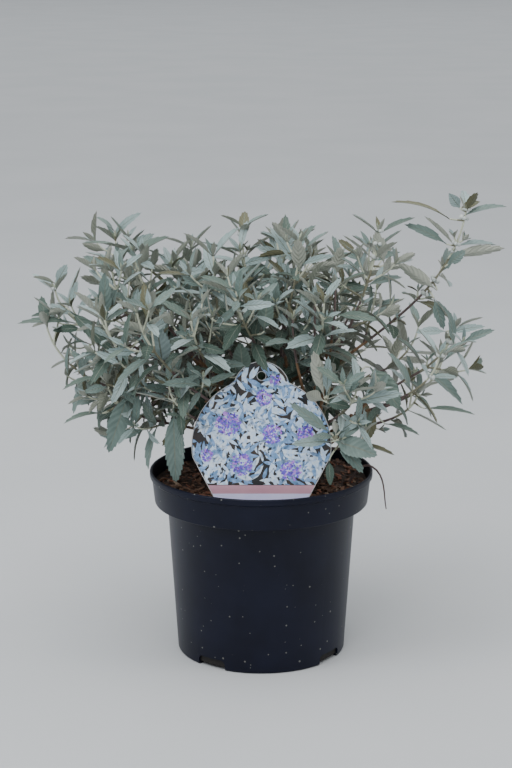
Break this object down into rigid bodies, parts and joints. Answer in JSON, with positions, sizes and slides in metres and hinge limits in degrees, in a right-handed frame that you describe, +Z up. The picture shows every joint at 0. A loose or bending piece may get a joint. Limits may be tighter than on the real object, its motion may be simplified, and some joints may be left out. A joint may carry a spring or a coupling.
{
  "type": "potted bluebeard shrub",
  "caption": "Young silver-leaved bluebeard shrub in a round black nursery pot with a round picture label in the compost.",
  "frame": {"origin": "centre of the pot's flat underside", "axes": "+Z up, -Y towards the front, where the label stands; +X to the right as seen from the front"},
  "size_m": [0.4014, 0.3108, 0.394],
  "materials": {
    "pot": "thin black moulded plastic, satin, a little dusty",
    "compost": "damp brown bark compost",
    "label": null,
    "wood": "thin grey-brown bark of young stems",
    "foliage": "grey-green felted leaves with silver young tips"
  },
  "bodies": {
    "root": {"pot": "pot", "compost": "compost", "label": "label", "woody_crown": "wood", "bough_left": "wood", "bough_upper_left": "wood", "bough_low_left": "wood", "bough_front_left": "wood", "bough_centre_left": "wood", "bough_centre_right": "wood", "bough_upper_right": "wood", "bough_right": "wood", "bough_low_right": "wood", "bough_front_right": "wood", "bough_back_left": "wood", "bough_back": "wood", "bough_back_right": "wood", "bough_back_low": "wood", "foliage_left_outer": "foliage", "foliage_left_low": "foliage", "foliage_left_shoulder": "foliage", "foliage_top_left": "foliage", "foliage_upper_left": "foliage", "foliage_upper_left_inner": "foliage", "foliage_low_left": "foliage", "foliage_low_left_inner": "foliage", "foliage_front_left": "foliage", "foliage_front_left_inner": "foliage", "foliage_front_left_centre": "foliage", "foliage_crown_front_left": "foliage", "foliage_crown_top": "foliage", "foliage_front_centre": "foliage", "foliage_crown_middle": "foliage", "foliage_crown_front_right": "foliage", "foliage_front_centre_right": "foliage", "foliage_upper_right_inner": "foliage", "foliage_upper_right": "foliage", "foliage_top_right": "foliage", "foliage_right_outer": "foliage", "foliage_right_front": "foliage", "foliage_right_back": "foliage", "foliage_low_right": "foliage", "foliage_front_right": "foliage", "foliage_front_low_right": "foliage", "foliage_back_left": "foliage", "foliage_back_left_low": "foliage", "foliage_back_left_top": "foliage", "foliage_back_middle": "foliage", "foliage_back_top": "foliage", "foliage_back_right": "foliage", "foliage_back_right_outer": "foliage", "foliage_back_right_inner": "foliage", "foliage_back_low_left": "foliage", "foliage_back_low": "foliage"}
  },
  "joints": []
}
